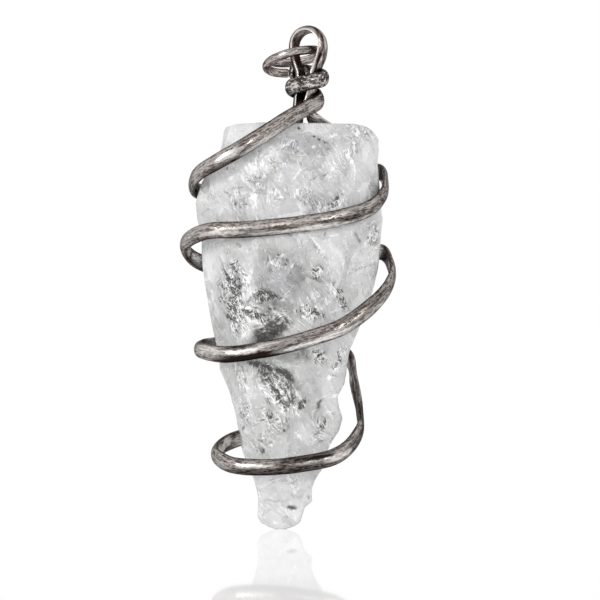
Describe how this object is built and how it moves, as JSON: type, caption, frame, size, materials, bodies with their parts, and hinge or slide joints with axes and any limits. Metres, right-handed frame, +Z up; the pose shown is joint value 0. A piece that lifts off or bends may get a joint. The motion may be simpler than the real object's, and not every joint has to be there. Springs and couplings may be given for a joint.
{
  "type": "quartz pendant",
  "caption": "Rough clear quartz point held in a spiral cage of oxidised half-round wire, with a wire hanging loop and a loose jump ring.",
  "frame": {"origin": "the inside top of the hanging loop, where the pendant hangs", "axes": "+Z up, front of the stone to -Y, +X to the right seen from the front"},
  "size_m": [0.0259, 0.0178, 0.0605],
  "materials": {
    "quartz": "clear rough-broken quartz with milky patches and dark fracture lines",
    "cage_wire": "oxidised silver-plated wire, brushed, darker in the hollows",
    "loop_wire": "oxidised silver-plated wire, brushed, dark red-brown on its flat inner face",
    "ring_wire": "oxidised silver-plated wire, brushed"
  },
  "bodies": {
    "pendant": {"crystal": "quartz", "wire_coil": "cage_wire", "hanging_loop": "loop_wire"},
    "ring": {"jump_ring": "ring_wire"}
  },
  "joints": [
    {"name": "ring_swing", "type": "hinge", "parent": "pendant", "child": "ring", "pos_m": [0.00057, -0.00032, -0.0022], "axis": [0.4848, 0.8746, 0], "range_deg": [0, 150]}
  ]
}
